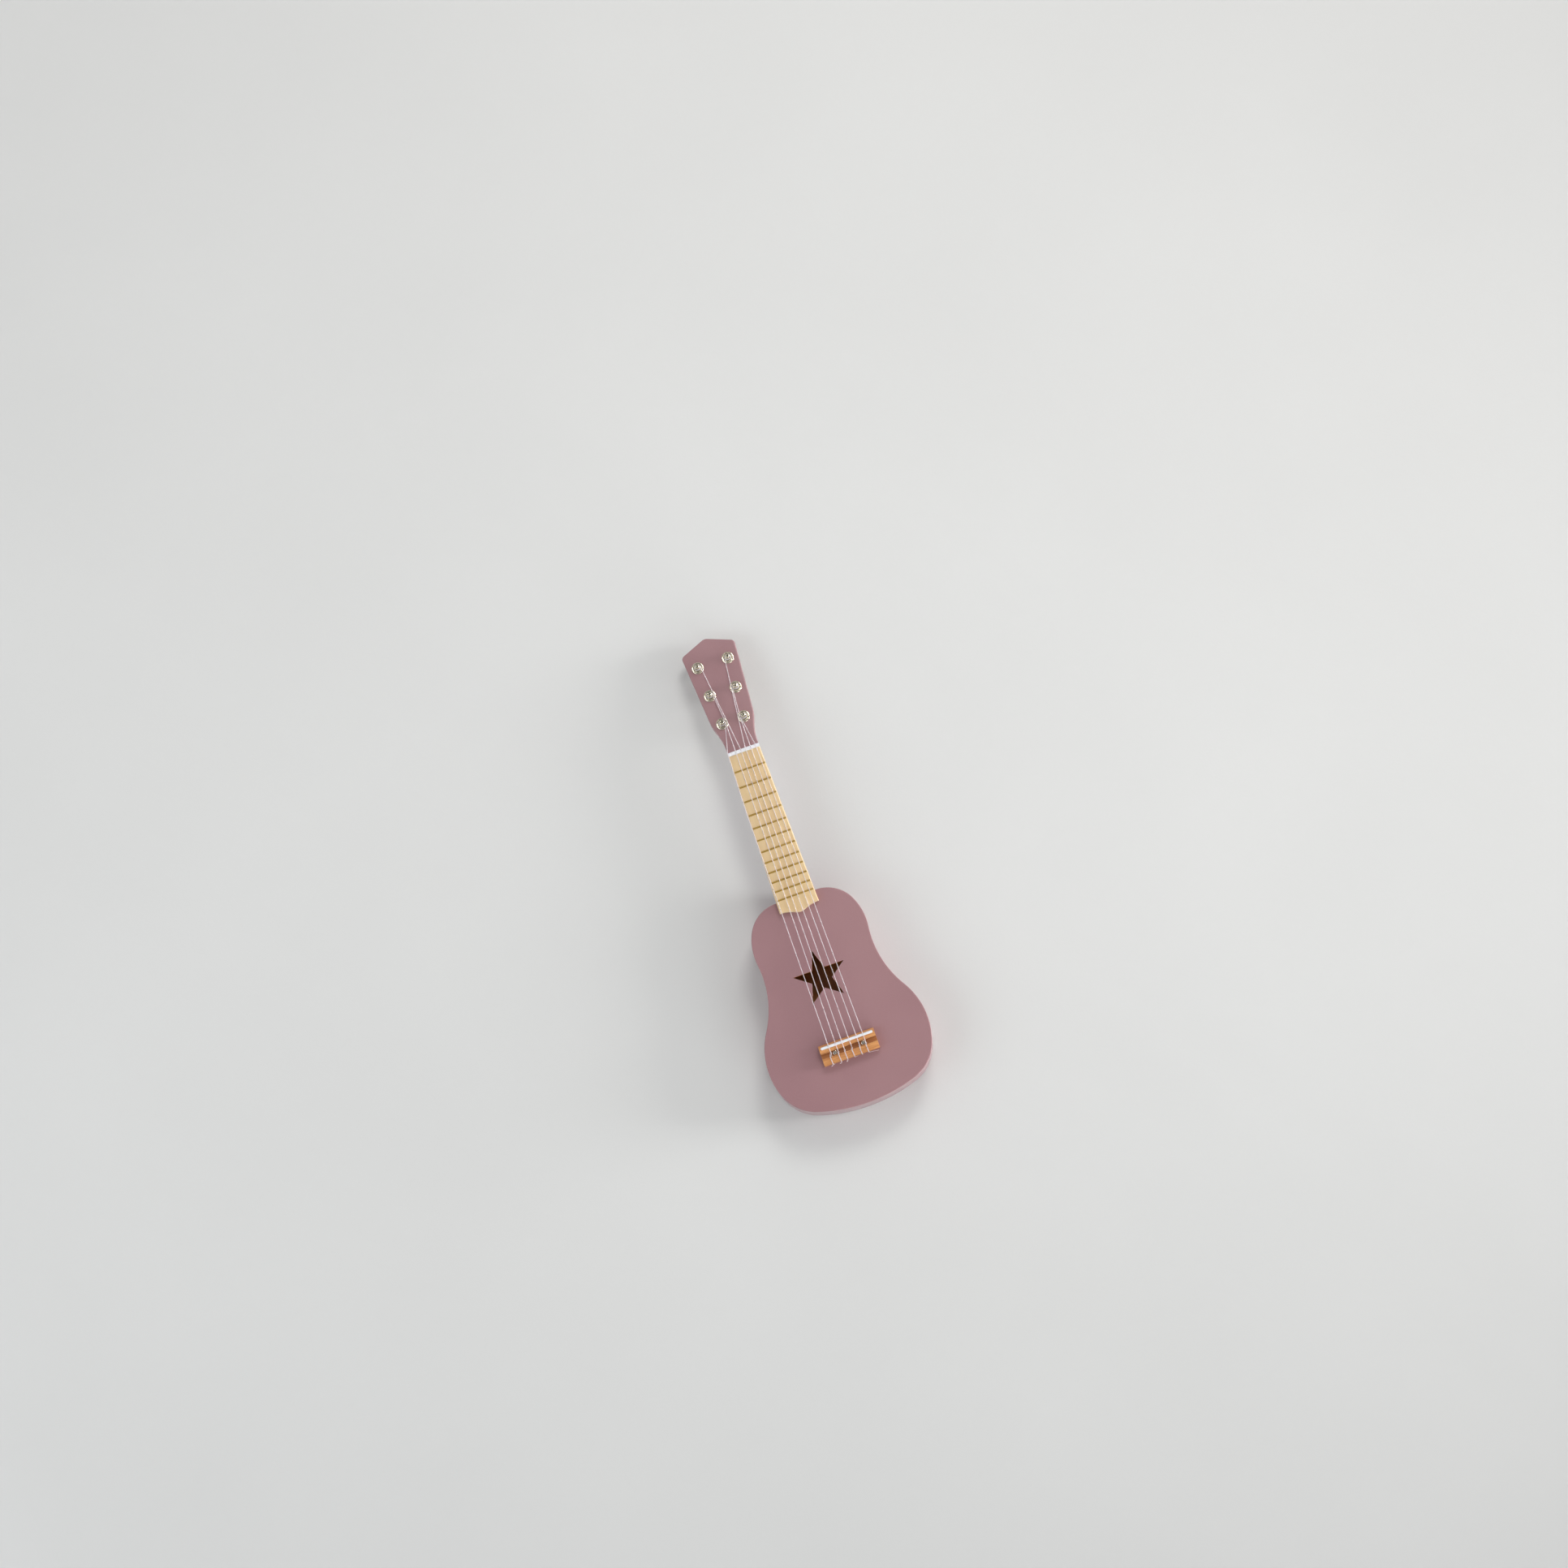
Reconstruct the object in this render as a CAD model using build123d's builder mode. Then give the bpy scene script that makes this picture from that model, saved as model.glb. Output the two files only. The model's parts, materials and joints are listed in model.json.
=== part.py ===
from build123d import *
import os
from math import asin, atan2, cos, degrees, hypot, pi, radians, sin, sqrt, tan

# Toy guitar lying on its back. +Z is up out of the soundboard, +Y runs along the neck to the
# headstock, +X is the right-hand side seen from the front. Origin: centre of the overall length
# and width, on the outer face of the back plate. All sizes are in millimetres.

# --- overall ---
scale_length = 330.0        # front edge of the nut to the crown of the saddle
saddle_to_tail = 69.0
body_depth = 43.0           # back plate's outer face to the soundboard's outer face
plate_thickness = 3.0
rim_thickness = 4.0
edge_round = 1.0            # softened edges of the painted body and headstock

# --- body outline: tangent arcs (radius, turn), from the tail's centre round to the neck ---
tail_arc = (177.0, 17.9)
corner_arc = (48.0, 52.4)
lower_bout_arc = (79.0, 51.4)
waist_arc = (107.0, -39.3)
upper_bout_arc = (62.0, 32.8)
shoulder_radius = 38.0

# --- star sound hole, a little left of the centreline ---
star_radius = 30.0
star_inner_radius = 11.7
star_x = -3.2
saddle_to_star = 73.2

# --- headstock, tilted back from the neck's top plane ---
head_angle = 10.0
head_length = 136.4         # along its face, from the nut's back edge to the rounded tip
head_thickness = 10.0
head_corner_half_width = 30.4
roof_angle = 23.0
roof_tip_radius = 8.0
roof_corner_radius = 5.0
ogee_start = 8.0
ogee_turn = 17.0
ogee_inner_radius = 55.0
ogee_straight = 9.0
ogee_outer_radius = 45.0
ogee_end_turn = 13.4

# --- neck, fingerboard, nut and frets ---
nut_half_width = 17.7
fingerboard_end_half_width = 22.0
fingerboard_length = 178.7  # nut's front edge to the lower corners
fingerboard_thickness = 4.8
fingerboard_bevel = 0.9
bracket_turn = 25.0         # steepest slope of the fingerboard's bracket-shaped end
bracket_tip_radius = 12.0
nut_length = 3.7
nut_height = 6.5
nut_round = 0.3
nut_slot_clearance = 0.1
nut_slot_depth = 2.0        # cut well above the string, so that the slot is open
empty_slot_x = -14.0        # the first string has slipped out of its own slot
neck_thickness = 14.5
neck_thickness_at_nut = 13.5
neck_side = 2.5             # straight part of the neck's side under the fingerboard
neck_blend_length = 24.0    # over the last stretch to the nut the sides deepen to meet the headstock
neck_side_at_nut = 9.0
volute_length = 26.0        # the neck's back fades into the headstock over this length
volute_inset = 2.0          # the volute ends this far inside the headstock's own surfaces
volute_sink = 0.8           # and this far under its face
heel_lengths = (40.0, 17.0, 10.0)
heel_half_widths = (19.0, 16.0, 12.0)
heel_heights = (36.0, 22.0, 6.0)
fret_count = 12
fret_width = 1.9
fret_height = 0.9
fret_inset_first = 0.7      # from the fingerboard's edge to the end of the first fret
fret_inset_last = 1.1
tang_width = 0.6
tang_depth = 1.8

# --- bridge: sizes along its profile run from the front edge towards the tail ---
bridge_half_width = 30.9
saddle_half_width = 29.0
saddle_from_front = 4.0
saddle_thickness = 3.0
saddle_seat = 3.5           # height of the saddle slot's floor
bridge_front_height = 3.8
bridge_ramp = 2.5
bridge_height = 8.0
bridge_dip_height = 6.9     # where the top slopes down to the valley
valley_start = 9.2
valley_end = 15.0
valley_height = 4.2
tie_block_height = 7.8
bridge_length = 22.6
tie_hole_height = 5.7
tie_hole_radius = 0.9
bridge_bolt_x = 15.9

# --- strings ---
string_radius = 0.425
string_height_at_nut = 6.55
saddle_crown_height = 9.0
saddle_string_x = (-20.2, -12.3, -5.3, 2.7, 11.2, 18.4)
nut_string_x = (-17.4, -8.6, -2.7, 2.6, 8.3, 13.8)    # the first one lies on the nut's shoulder
slack_turn = 60.0           # the slack first string turns inwards this far below the nut
slack_turn_x = -19.6
slack_bend_radius = 1500.0
string_tail = 2.5           # end left behind the tie block
tie_bend_radius = 4.0
nut_bend_radius = 1.5
nut_bend_overhang = 0.25
post_bend_radius = 25.0     # where a middle peg's string passes the first peg's post
post_bend_height = 4.9
hole_exit = 0.8             # the string leaves its hole this far in front of the tie block
moving_gap = 0.35           # from a still string to a turning winding
contact_gap = 0.02

# --- tuning pegs, three a side ---
peg_first = 35.6            # along the head's face, from the nut's back edge
peg_pitch = 35.3
peg_first_x = 12.2
peg_spread = 2.55
post_radius = 3.0
post_height = 7.8
post_tip_radius = 2.6
post_hole_radius = 1.1
post_hole_depth = 2.6
post_edge = 0.4             # chamfer round the post's top
post_hole_edge = 0.2
post_hole_point = 0.6       # the drill's conical end
post_neck = 0.5             # the post narrows from here up, above the winding
string_hole_lift = 0.9      # the string's hole, above the winding
string_hole_clearance = 0.1
running_clearance = 0.05
bushing_radius = 6.85
bushing_rim = 1.7
bushing_floor = 0.9
bushing_groove_radius = 4.8
bushing_side = 0.5
bushing_collar = 1.0        # raised collar round the post: width at its foot
bushing_collar_top = 0.7
bushing_collar_rise = 0.6
sleeve_radius = 4.4
washer_radius = 6.2
washer_thickness = 0.8
winding_floor = 2.2
winding_turns = 2
button_collar_radius = 4.2
button_collar = 2.0
button_height = 9.5
button_half_length = 8.5
button_half_width = 5.0
button_round = 1.4
button_gap = 0.1
button_screw_clearance = 0.3
button_turn_first = 25.0    # the six buttons are left turned at different angles
button_turn_step = 50.0
stub_radius = 2.0
stub_length = 6.0
thread_depth = 5.0          # threaded hole up the stub for the button's screw
thread_clearance = 0.5      # from the screw's tip to the hole's end
peg_screw_radius = 1.1
peg_screw_head_radius = 2.4
peg_screw_head = 1.2
peg_screw_sink = 0.2        # the head lies this far under the button's end
peg_screw_edge = 0.5

# --- fasteners ---
bolt_radius = 1.5
bolt_head_radius = 2.65
bolt_head = 1.7
bolt_nut_half_flats = 2.75
bolt_nut = 2.4
bolt_washer_radius = 3.5
bolt_washer = 0.5
bolt_overhang = 1.0         # thread showing past the nut
fit_gap = 0.03
neck_screw_radius = 1.8
neck_screw_head_radius = 3.5
neck_screw_head = 2.2
neck_screw_length = 28.0
neck_hole_clearance = 0.5   # from a neck screw's tip to the end of its blind hole in the heel
neck_screw_heights = (13.0, 28.0)
neck_screw_edge = 0.8       # chamfer round the head
neck_screw_point = 3.0
neck_screw_recess = (3.4, 0.8, 1.2)     # cross recess: length, width, depth
bolt_recess = (3.0, 0.7, 0.9)
bolt_recess_turn = 35.0
peg_screw_recess = (2.6, 0.6, 0.6)

# --- inside the body ---
lining_size = 4.0
neck_block_half_width = 22.0
neck_block_length = 16.0
tail_block_half_width = 20.0
tail_block_length = 12.0
brace_width = 5.0
brace_height = 7.0
brace_end_gap = 1.0
brace_stock = 200.0         # longer than the body is wide; trimmed to the inner outline
top_brace_offsets = (44.0, -39.0)   # from the star's centre, towards the neck
back_brace_offsets = (38.0, -69.2)
bridge_plate_half_width = 33.0
bridge_plate_length = 30.0
bridge_plate_thickness = 2.5

# --- derived places ---
head_slope = radians(head_angle)
head_reach = nut_length + head_length * cos(head_slope)
tail_y = -(saddle_to_tail + scale_length + head_reach) / 2
saddle_y = tail_y + saddle_to_tail
nut_y = saddle_y + scale_length
nut_back_y = nut_y + nut_length
bridge_front_y = saddle_y + saddle_from_front
bolt_y = bridge_front_y - (valley_start + valley_end) / 2
star_y = saddle_y + saddle_to_star
top_z = body_depth
cavity_floor = plate_thickness
cavity_roof = body_depth - plate_thickness
cavity_height = cavity_roof - cavity_floor
fingerboard_end_y = nut_y - fingerboard_length

last_bends = [(x, saddle_y) for x in saddle_string_x]   # where each string's run to the nut starts
last_bends[0] = (slack_turn_x, nut_y - slack_turn)
peg_rows = (0, 1, 2, 2, 1, 0)
peg_sides = (-1, -1, -1, 1, 1, 1)

os.makedirs("parts", exist_ok=True)


def finish(piece, label):
    piece.part.label = label
    export_step(piece.part, f"parts/{label}.step")


def cross_recess(length, width, depth, turn):
    """Cuts a cross recess, centred on the face of a screw head at the current location."""
    Box(length, width, 2 * depth, rotation=(0, 0, turn), mode=Mode.SUBTRACT)
    Box(width, length, 2 * depth, rotation=(0, 0, turn), mode=Mode.SUBTRACT)


def body_outline(height, inset=0.0):
    """The guitar's plan as a face at a height, or a smaller copy a wall thickness inside it."""
    with BuildSketch(Plane.XY.offset(height)) as plan:
        with BuildLine():
            tail = JernArc((0, tail_y), (1, 0), tail_arc[0], tail_arc[1])
            corner = JernArc(tail @ 1, tail % 1, corner_arc[0], corner_arc[1])
            lower = JernArc(corner @ 1, corner % 1, lower_bout_arc[0], lower_bout_arc[1])
            waist = JernArc(lower @ 1, lower % 1, waist_arc[0], waist_arc[1])
            upper = JernArc(waist @ 1, waist % 1, upper_bout_arc[0], upper_bout_arc[1])
            turned = tail_arc[1] + corner_arc[1] + lower_bout_arc[1] + waist_arc[1] + upper_bout_arc[1]
            shoulder = JernArc(upper @ 1, upper % 1, shoulder_radius, 180 - turned)
            Line(shoulder @ 1, (0, (shoulder @ 1).Y))
            mirror(about=Plane.YZ)
        make_face()
        if inset:
            offset(amount=-inset, mode=Mode.REPLACE)
    return plan.sketch


def neck_half_width(distance):
    """Half-width of the neck and fingerboard at a distance below the nut's front edge."""
    return nut_half_width + (fingerboard_end_half_width - nut_half_width) * distance / fingerboard_length


def head_point(x, along, above):
    """A point from its place on the headstock's face: x, distance up the face, height above it."""
    y = nut_back_y + along * cos(head_slope) + above * sin(head_slope)
    z = top_z - along * sin(head_slope) + above * cos(head_slope)
    return Vector(x, y, z)


def head_plane(x=0.0, along=0.0, above=0.0):
    """The headstock's face as a plane: local X across, local Y up the face, Z out of it."""
    normal = (0, sin(head_slope), cos(head_slope))
    return Plane(origin=head_point(x, along, above), x_dir=(1, 0, 0), z_dir=normal)


def peg_place(number):
    """x and distance along the head's face of the peg that winds a string (0 to 5)."""
    row = peg_rows[number]
    x = peg_sides[number] * (peg_first_x + peg_spread * row)
    return x, peg_first + peg_pitch * row


def peg_axis(number):
    """The peg's axis, and a plane through it with local X across and local Y along the axis."""
    x, along = peg_place(number)
    foot = head_point(x, along, 0)
    axis = Axis(foot, (0, sin(head_slope), cos(head_slope)))
    section = Plane(origin=foot, x_dir=(1, 0, 0), z_dir=(0, -cos(head_slope), sin(head_slope)))
    return axis, section


star_points = []
for point_number in range(10):
    reach = star_inner_radius if point_number % 2 else star_radius
    bearing = radians(90 + 36 * point_number)
    star_points.append((star_x + reach * cos(bearing), star_y + reach * sin(bearing)))

body_top_y = body_outline(0).bounding_box().max.Y

# ---------------------------------------------------------------- sound box
with BuildPart() as back_plate:
    extrude(body_outline(0), amount=plate_thickness)
    fillet(back_plate.faces().sort_by(Axis.Z)[0].outer_wire().edges(), radius=edge_round)
finish(back_plate, "back_plate")

with BuildPart() as rim:
    extrude(body_outline(cavity_floor), amount=cavity_height)
    extrude(body_outline(cavity_floor, rim_thickness), amount=cavity_height, mode=Mode.SUBTRACT)
    with Locations(*[(0, body_top_y, height) for height in neck_screw_heights]):
        Cylinder(neck_screw_radius + fit_gap, 4 * rim_thickness, rotation=(90, 0, 0), mode=Mode.SUBTRACT)
finish(rim, "rim")

with BuildPart() as soundboard:
    extrude(body_outline(cavity_roof), amount=plate_thickness)
    fillet(soundboard.faces().sort_by(Axis.Z)[-1].outer_wire().edges(), radius=edge_round)
    with BuildSketch(Plane.XY.offset(cavity_roof)):
        with BuildLine():
            Polyline(*star_points, close=True)
        make_face()
    extrude(amount=plate_thickness, mode=Mode.SUBTRACT)
    with Locations((-bridge_bolt_x, bolt_y, top_z), (bridge_bolt_x, bolt_y, top_z)):
        Cylinder(bolt_radius + fit_gap, 4 * plate_thickness, mode=Mode.SUBTRACT)
finish(soundboard, "soundboard")

inner_top_y = body_top_y - rim_thickness
inner_tail_y = tail_y + rim_thickness
screw_tip_y = inner_top_y - neck_block_length + neck_screw_length

with BuildPart() as neck_block:
    with Locations((0, inner_top_y - neck_block_length / 2, cavity_floor + cavity_height / 2)):
        Box(2 * neck_block_half_width, neck_block_length, cavity_height)
    with Locations(*[(0, inner_top_y, height) for height in neck_screw_heights]):
        Cylinder(neck_screw_radius + fit_gap, 3 * neck_block_length, rotation=(90, 0, 0), mode=Mode.SUBTRACT)
finish(neck_block, "neck_block")

with BuildPart() as tail_block:
    with Locations((0, inner_tail_y, cavity_floor + cavity_height / 2)):
        Box(2 * tail_block_half_width, 2 * tail_block_length, cavity_height)
    extrude(body_outline(cavity_floor, rim_thickness), amount=cavity_height, mode=Mode.INTERSECT)
finish(tail_block, "tail_block")

# Glued strips that stiffen the joints between the rim and the two plates, stopping at the blocks.
with BuildPart() as linings:
    for strip_z in (cavity_floor, cavity_roof - lining_size):
        extrude(body_outline(strip_z, rim_thickness), amount=lining_size)
        extrude(body_outline(strip_z, rim_thickness + lining_size), amount=lining_size, mode=Mode.SUBTRACT)
        with Locations((0, body_top_y, strip_z + lining_size / 2)):
            Box(2 * neck_block_half_width, 3 * neck_block_length, lining_size, mode=Mode.SUBTRACT)
        with Locations((0, tail_y, strip_z + lining_size / 2)):
            Box(2 * tail_block_half_width, 3 * tail_block_length, lining_size, mode=Mode.SUBTRACT)
finish(linings, "linings")

# Two braces under the soundboard, either side of the star, and two on the back plate.
inner_box = body_outline(0, rim_thickness + lining_size + brace_end_gap)
with BuildPart() as braces:
    with Locations(*[(0, star_y + y, cavity_roof - brace_height / 2) for y in top_brace_offsets]):
        Box(brace_stock, brace_width, brace_height)
    with Locations(*[(0, star_y + y, cavity_floor + brace_height / 2) for y in back_brace_offsets]):
        Box(brace_stock, brace_width, brace_height)
    extrude(inner_box, amount=body_depth, mode=Mode.INTERSECT)
finish(braces, "braces")

with BuildPart() as bridge_plate:
    plate_z = cavity_roof - bridge_plate_thickness / 2
    with Locations((0, bolt_y, plate_z)):
        Box(2 * bridge_plate_half_width, bridge_plate_length, bridge_plate_thickness)
    with Locations((-bridge_bolt_x, bolt_y, plate_z), (bridge_bolt_x, bolt_y, plate_z)):
        Cylinder(bolt_radius + fit_gap, 4 * bridge_plate_thickness, mode=Mode.SUBTRACT)
finish(bridge_plate, "bridge_plate")

# ---------------------------------------------------------------- neck and headstock
neck_joint = nut_y - body_top_y


def neck_section(y, half_width, depth, side=neck_side, drop=0.0):
    """Rounded D section of the neck on an XZ plane, flat side up, with straight sides of a given depth."""
    with BuildSketch(Plane(origin=(0, y, top_z - drop), x_dir=(-1, 0, 0), z_dir=(0, 1, 0))) as section:
        with BuildLine():
            Line((-half_width, 0), (half_width, 0))
            Line((half_width, 0), (half_width, -side))
            EllipticalCenterArc((0, -side), half_width, depth - side, 180, arc_size=180)
            Line((-half_width, -side), (-half_width, 0))
        make_face()
    return section.sketch


def heel_section(height, half_width, length):
    """Horizontal U-shaped section of the heel, flat against the body's end."""
    straight = max(length - half_width, 0.0)
    with BuildSketch(Plane.XY.offset(height)) as section:
        with BuildLine():
            Line((-half_width, body_top_y), (half_width, body_top_y))
            Line((half_width, body_top_y), (half_width, body_top_y + straight + 1))
            round_centre = (0, body_top_y + straight + 1)
            EllipticalCenterArc(round_centre, half_width, length - straight, 0, arc_size=180)
            Line((-half_width, body_top_y + straight + 1), (-half_width, body_top_y))
        make_face()
    return section.sketch


# The headstock's outline on its own face: an ogee from the neck, straight sides, a low roof.
face_plane = head_plane()
roof_slope = radians(roof_angle)
roof_tip = head_length + roof_tip_radius * (1 / cos(roof_slope) - 1)
roof_corner = roof_tip - head_corner_half_width * tan(roof_slope)

with BuildPart() as neck:
    with BuildSketch(face_plane) as head_face:
        with BuildLine():
            foot = Line((0, 0), (nut_half_width, 0))
            side = Line(foot @ 1, (nut_half_width, ogee_start))
            inner = JernArc(side @ 1, side % 1, ogee_inner_radius, -ogee_turn)
            flare = Line(inner @ 1, inner @ 1 + (inner % 1) * ogee_straight)
            outer = JernArc(flare @ 1, flare % 1, ogee_outer_radius, ogee_end_turn)
            edge = Line(outer @ 1, (head_corner_half_width, roof_corner))
            Line(edge @ 1, (0, roof_tip))
            mirror(about=Plane.YZ)
        make_face()
        corners = head_face.vertices().filter_by_position(Axis.Y, roof_corner - 1, roof_corner + 1)
        fillet(corners, radius=roof_corner_radius)
        fillet(head_face.vertices().sort_by(Axis.Y)[-1], radius=roof_tip_radius)
    extrude(amount=-head_thickness)
    flat_faces = neck.faces().filter_by(lambda face: abs(face.normal_at().dot(face_plane.z_dir)) > 0.99)
    head_edges = flat_faces.edges().filter_by(lambda e: face_plane.to_local_coords(e.center()).Y > 1)
    fillet(head_edges, radius=edge_round)

    shaft_start = neck_section(body_top_y, neck_half_width(neck_joint), neck_thickness)
    blend_y = nut_back_y - neck_blend_length
    blend_share = neck_blend_length / (nut_back_y - body_top_y)
    blend_half_width = nut_half_width + (neck_half_width(neck_joint) - nut_half_width) * blend_share
    blend_depth = neck_thickness_at_nut + (neck_thickness - neck_thickness_at_nut) * blend_share
    shaft_blend = neck_section(blend_y, blend_half_width, blend_depth)
    shaft_end = neck_section(nut_back_y, nut_half_width, neck_thickness_at_nut, neck_side_at_nut)
    loft([shaft_start, shaft_blend])
    loft([shaft_blend, shaft_end])
    volute_drop = volute_length * tan(head_slope) + volute_sink
    volute_half_width = nut_half_width - volute_inset
    volute_depth = head_thickness - volute_inset
    volute_end_y = nut_back_y + volute_length
    volute_end = neck_section(volute_end_y, volute_half_width, volute_depth, neck_side, volute_drop)
    loft([shaft_end, volute_end])
    heel_shapes = zip(heel_heights, heel_half_widths, heel_lengths)
    loft([heel_section(height, width, length) for height, width, length in heel_shapes])

    for number in range(6):
        with Locations(head_plane(*peg_place(number))):
            Cylinder(sleeve_radius, 3 * head_thickness, mode=Mode.SUBTRACT)
    with Locations(*[(0, body_top_y, height) for height in neck_screw_heights]):
        hole_depth = screw_tip_y + neck_hole_clearance - body_top_y
        Cylinder(neck_screw_radius + fit_gap, 2 * hole_depth, rotation=(90, 0, 0), mode=Mode.SUBTRACT)
finish(neck, "neck")

# The fingerboard's lower end is a shallow bracket: two hollow curves meeting in a rounded tip.
bracket_sine = sin(radians(bracket_turn))
bracket_side_radius = fingerboard_end_half_width / bracket_sine - bracket_tip_radius
fret_ys = [saddle_y + scale_length * 2 ** (-number / 12) for number in range(1, fret_count + 1)]

with BuildPart() as fingerboard:
    with BuildSketch(Plane.XY.offset(top_z)):
        with BuildLine():
            Line((0, nut_y), (nut_half_width, nut_y))
            Line((nut_half_width, nut_y), (fingerboard_end_half_width, fingerboard_end_y))
            end_corner = (fingerboard_end_half_width, fingerboard_end_y)
            hollow = JernArc(end_corner, (-1, 0), bracket_side_radius, bracket_turn)
            JernArc(hollow @ 1, hollow % 1, bracket_tip_radius, -bracket_turn)
            mirror(about=Plane.YZ)
        make_face()
    extrude(amount=fingerboard_thickness)
    long_edges = fingerboard.faces().sort_by(Axis.Z)[-1].edges().filter_by(GeomType.LINE)
    chamfer(long_edges.filter_by(lambda edge: abs(edge.tangent_at(0.5).Y) > 0.9), length=fingerboard_bevel)
    with Locations(*[(0, y, top_z + fingerboard_thickness - tang_depth / 2) for y in fret_ys]):
        Box(3 * fingerboard_end_half_width, tang_width, tang_depth, mode=Mode.SUBTRACT)
finish(fingerboard, "fingerboard")

for number, fret_y in enumerate(fret_ys, start=1):
    board_half_width = neck_half_width(nut_y - fret_y)
    inset_step = (fret_inset_last - fret_inset_first) / (fret_count - 1)
    fret_half_width = board_half_width - fret_inset_first - inset_step * (number - 1)
    crown_z = top_z + fingerboard_thickness
    with BuildPart() as fret:
        with BuildSketch(Plane(origin=(-fret_half_width, fret_y, crown_z), x_dir=(0, 1, 0), z_dir=(1, 0, 0))):
            with BuildLine():
                crown_left = (-fret_width / 2, 0)
                crown_right = (fret_width / 2, 0)
                ThreePointArc(crown_left, (0, fret_height), crown_right)
                Line(crown_right, crown_left)
            make_face()
        extrude(amount=2 * fret_half_width)
        with Locations((0, fret_y, crown_z - tang_depth / 2)):
            Box(2 * fret_half_width, tang_width, tang_depth)
    finish(fret, f"fret_{number:02d}")

nut_slot_floor = string_height_at_nut - string_radius - contact_gap
with BuildPart() as nut:
    with Locations((0, nut_y + nut_length / 2, top_z + nut_height / 2)):
        Box(2 * nut_half_width, nut_length, nut_height)
    upper_edges = nut.faces().sort_by(Axis.Z)[-1].edges()
    fillet(upper_edges, radius=nut_round)
    slot_width = 2 * string_radius + nut_slot_clearance
    slot_z = top_z + nut_slot_floor + nut_slot_depth / 2
    for nut_x, (bend_x, bend_y) in zip(nut_string_x, last_bends):
        lean = degrees(atan2(bend_x - nut_x, nut_y - bend_y))
        with Locations((nut_x, nut_y + nut_length / 2, slot_z)):
            Box(slot_width, 3 * nut_length, nut_slot_depth, rotation=(0, 0, lean), mode=Mode.SUBTRACT)
    with Locations((empty_slot_x, nut_y + nut_length / 2, slot_z)):
        Box(slot_width, 3 * nut_length, nut_slot_depth, mode=Mode.SUBTRACT)
finish(nut, "nut")

with BuildPart() as neck_screws:
    for screw_z in neck_screw_heights:
        with BuildSketch(Plane(origin=(0, 0, screw_z), x_dir=(1, 0, 0), z_dir=(0, 0, 1))):
            with BuildLine():
                head_y = inner_top_y - neck_block_length
                Polyline(
                    (0, head_y - neck_screw_head),
                    (neck_screw_head_radius - neck_screw_edge, head_y - neck_screw_head),
                    (neck_screw_head_radius, head_y - neck_screw_head + neck_screw_edge),
                    (neck_screw_head_radius, head_y),
                    (neck_screw_radius, head_y),
                    (neck_screw_radius, screw_tip_y - neck_screw_point),
                    (0.2, screw_tip_y),
                    (0, screw_tip_y),
                    close=True,
                )
            make_face()
        revolve(axis=Axis((0, 0, screw_z), (0, 1, 0)))
        with Locations((0, head_y - neck_screw_head, screw_z)):
            recess_length, recess_width, recess_depth = neck_screw_recess
            Box(recess_length, 2 * recess_depth, recess_width, mode=Mode.SUBTRACT)
            Box(recess_width, 2 * recess_depth, recess_length, mode=Mode.SUBTRACT)
finish(neck_screws, "neck_screws")

# ---------------------------------------------------------------- bridge
with BuildPart() as bridge:
    start = Plane(origin=(-bridge_half_width, bridge_front_y, top_z), x_dir=(0, -1, 0), z_dir=(-1, 0, 0))
    with BuildSketch(start):
        with BuildLine():
            Polyline(
                (0, 0),
                (0, bridge_front_height),
                (bridge_ramp, bridge_height),
                (saddle_from_front + saddle_thickness / 2, bridge_height),
                (valley_start, bridge_dip_height),
                (valley_start, valley_height),
                (valley_end, valley_height),
                (valley_end, tie_block_height),
                (bridge_length, tie_block_height),
                (bridge_length, 0),
                close=True,
            )
        make_face()
    extrude(amount=-2 * bridge_half_width)
    with BuildSketch(Plane.XY.offset(top_z + saddle_seat)):
        with Locations((0, saddle_y)):
            SlotOverall(2 * saddle_half_width, saddle_thickness)
    extrude(amount=bridge_height, mode=Mode.SUBTRACT)
    tie_block_y = bridge_front_y - (valley_end + bridge_length) / 2
    with Locations(*[(x, tie_block_y, top_z + tie_hole_height) for x in saddle_string_x]):
        Cylinder(tie_hole_radius, valley_end, rotation=(90, 0, 0), mode=Mode.SUBTRACT)
    with Locations((-bridge_bolt_x, bolt_y, top_z), (bridge_bolt_x, bolt_y, top_z)):
        Cylinder(bolt_radius + fit_gap, 3 * bridge_height, mode=Mode.SUBTRACT)
finish(bridge, "bridge")

saddle_crest_z = top_z + saddle_crown_height - saddle_thickness / 2
with BuildPart() as saddle:
    with BuildSketch(Plane.XY.offset(top_z + saddle_seat)):
        with Locations((0, saddle_y)):
            SlotOverall(2 * saddle_half_width, saddle_thickness)
    extrude(amount=saddle_crown_height - saddle_seat)
    with BuildSketch(Plane.YZ.offset(-saddle_half_width)):
        with Locations((saddle_y, saddle_crest_z)):
            Circle(saddle_thickness / 2)
        with Locations((saddle_y, saddle_crest_z - bridge_height / 2)):
            Rectangle(saddle_thickness, bridge_height)
    extrude(amount=2 * saddle_half_width, mode=Mode.INTERSECT)
finish(saddle, "saddle")

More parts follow.
